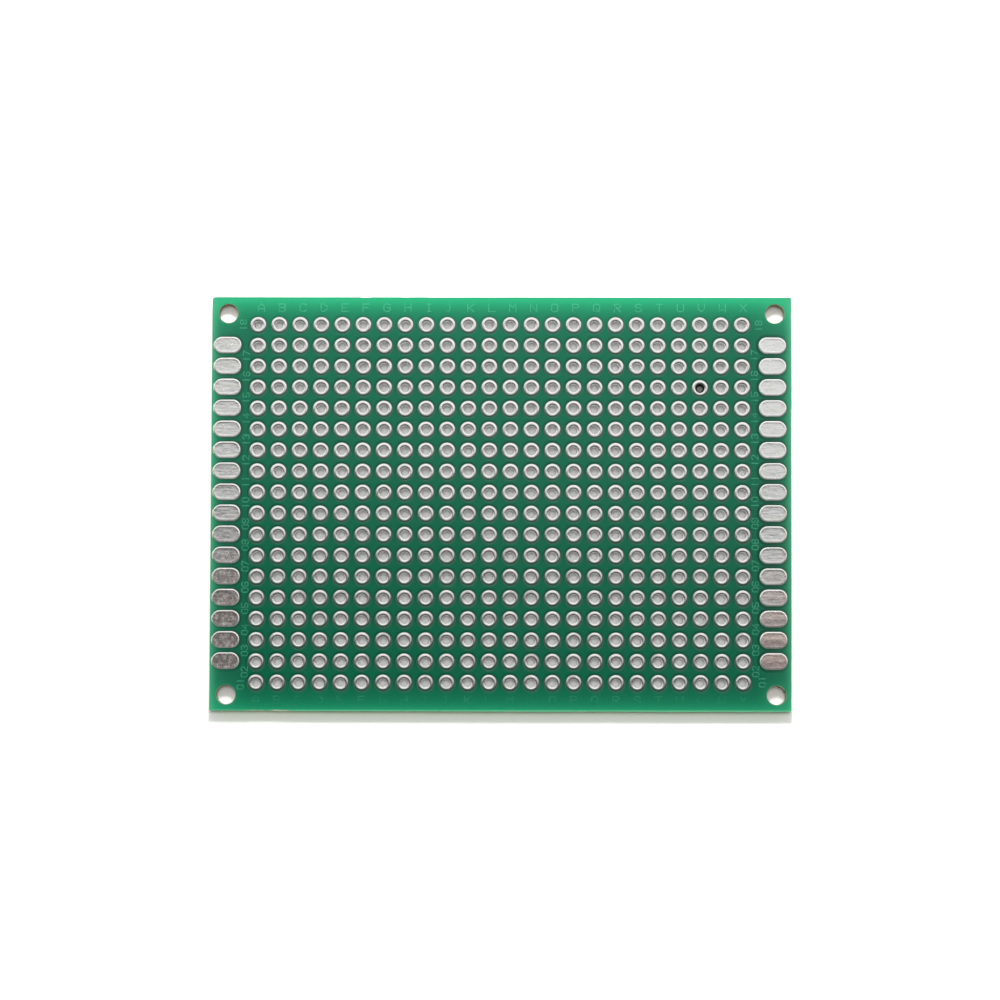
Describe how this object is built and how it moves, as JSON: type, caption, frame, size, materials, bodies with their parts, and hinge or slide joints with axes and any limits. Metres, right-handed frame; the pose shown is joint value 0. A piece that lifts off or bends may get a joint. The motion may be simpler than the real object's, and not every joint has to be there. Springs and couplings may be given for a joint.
{
  "type": "prototype circuit board",
  "caption": "Flat green circuit board with a square grid of tinned plated holes, solder pads along both short edges and a mounting hole in each corner.",
  "frame": {"origin": "under the middle of the board's outline, level with the tops of the bottom edge pads, which the board lies on", "axes": "+X along the long side towards column 24, +Y along the short side towards row 18, +Z out of the top face"},
  "size_m": [0.07, 0.05, 0.0017],
  "materials": {
    "laminate": "translucent yellowish glass-fibre epoxy, cut edges",
    "solder_mask": "thin translucent green lacquer, satin gloss",
    "ring_solder": "bright hot-air-levelled tin, domed",
    "edge_pad_solder": "hot-air-levelled tin, streaked and slightly wrinkled"
  },
  "bodies": {
    "root": {"laminate": "laminate", "solder_mask_top": "solder_mask", "solder_mask_bottom": "solder_mask", "edge_pads_top_left": "edge_pad_solder", "edge_pads_top_right": "edge_pad_solder", "edge_pads_bottom_left": "edge_pad_solder", "edge_pads_bottom_right": "edge_pad_solder", "plated_holes_row_01": "ring_solder", "plated_holes_row_02": "ring_solder", "plated_holes_row_03": "ring_solder", "plated_holes_row_04": "ring_solder", "plated_holes_row_05": "ring_solder", "plated_holes_row_06": "ring_solder", "plated_holes_row_07": "ring_solder", "plated_holes_row_08": "ring_solder", "plated_holes_row_09": "ring_solder", "plated_holes_row_10": "ring_solder", "plated_holes_row_11": "ring_solder", "plated_holes_row_12": "ring_solder", "plated_holes_row_13": "ring_solder", "plated_holes_row_14": "ring_solder", "plated_holes_row_15": "ring_solder", "plated_holes_row_16": "ring_solder", "plated_holes_row_17": "ring_solder", "plated_holes_row_18": "ring_solder"}
  },
  "joints": []
}
